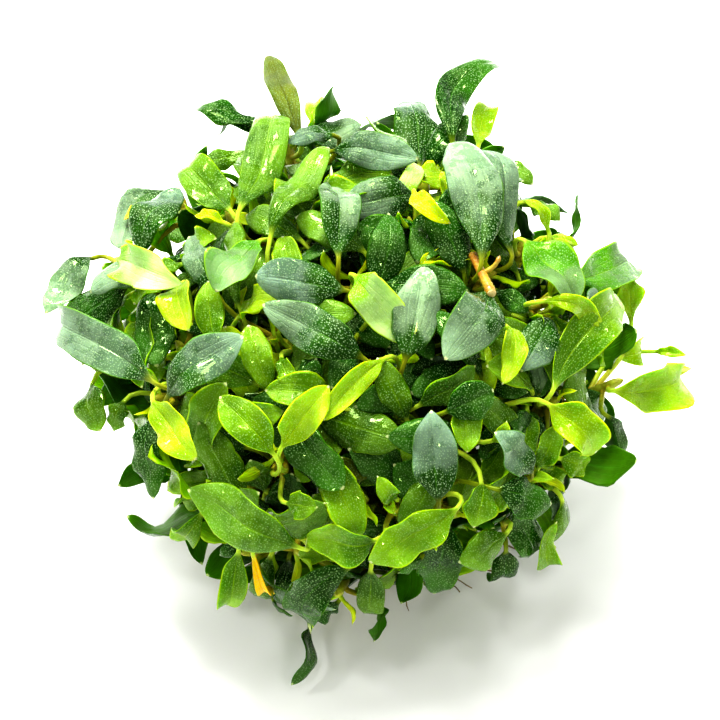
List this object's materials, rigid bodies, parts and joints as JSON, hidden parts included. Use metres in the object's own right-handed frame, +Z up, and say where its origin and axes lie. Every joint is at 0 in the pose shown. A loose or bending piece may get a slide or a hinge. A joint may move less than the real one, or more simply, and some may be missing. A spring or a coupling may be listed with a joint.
{
  "type": "bucephalandra plant clump",
  "caption": "Rounded clump of a small water plant: glossy oval stalked leaves on forked shoots that rise from a flat-based rhizome knot.",
  "frame": {"origin": "middle of the rhizome knot's flat underside, on the surface that the clump stands on", "axes": "+Z up; the clump's best side faces -Y, and +X is to the right as seen from there"},
  "size_m": [0.0915, 0.0851, 0.0585],
  "materials": {
    "leaf_dark": "waxy dark green, wet gloss, fine pale speckles",
    "leaf_sheen": "dark green with a grey-blue sheen, wet gloss, fine pale speckles",
    "leaf_green": "mid green, wet gloss",
    "leaf_bright": "bright green, wet gloss",
    "leaf_lime": "young lime green, slightly translucent, wet gloss",
    "leaf_yellow": "newest yellow-green, slightly translucent, wet gloss",
    "leaf_olive": "old olive green",
    "shoot": "green foliage on yellow-green to orange-brown stems",
    "rhizome": "orange-brown, ringed with leaf scars"
  },
  "bodies": {
    "root": {"leaf_01": "leaf_green", "leaf_02": "leaf_bright", "leaf_03": "leaf_bright", "leaf_04": "leaf_sheen", "leaf_05": "leaf_sheen", "leaf_06": "leaf_lime", "leaf_07": "leaf_lime", "leaf_08": "leaf_sheen", "leaf_09": "leaf_lime", "leaf_10": "leaf_sheen", "leaf_11": "leaf_sheen", "leaf_12": "leaf_bright", "leaf_13": "leaf_dark", "leaf_14": "leaf_sheen", "leaf_15": "leaf_lime", "leaf_16": "leaf_sheen", "leaf_17": "leaf_dark", "leaf_18": "leaf_lime", "leaf_19": "leaf_lime", "leaf_20": "leaf_bright", "leaf_21": "leaf_sheen", "leaf_22": "leaf_bright", "leaf_23": "leaf_lime", "leaf_24": "leaf_lime", "leaf_25": "leaf_bright", "leaf_26": "leaf_yellow", "leaf_27": "leaf_yellow", "leaf_28": "leaf_sheen", "leaf_29": "leaf_dark", "leaf_30": "leaf_dark", "leaf_31": "leaf_dark", "leaf_32": "leaf_lime", "leaf_33": "leaf_sheen", "leaf_34": "leaf_green", "leaf_35": "leaf_olive", "leaf_36": "leaf_sheen", "leaf_37": "leaf_sheen", "leaf_38": "leaf_sheen", "leaf_39": "leaf_green", "shoot_01": "shoot", "shoot_02": "shoot", "shoot_03": "shoot", "shoot_04": "shoot", "shoot_05": "shoot", "shoot_06": "shoot", "shoot_07": "shoot", "shoot_08": "shoot", "shoot_09": "shoot", "shoot_10": "shoot", "shoot_11": "shoot", "shoot_12": "shoot", "shoot_13": "shoot", "shoot_14": "shoot", "shoot_15": "shoot", "shoot_16": "shoot", "shoot_17": "shoot", "shoot_18": "shoot", "shoot_19": "shoot", "shoot_20": "shoot", "rhizome_knot": "rhizome"}
  },
  "joints": []
}
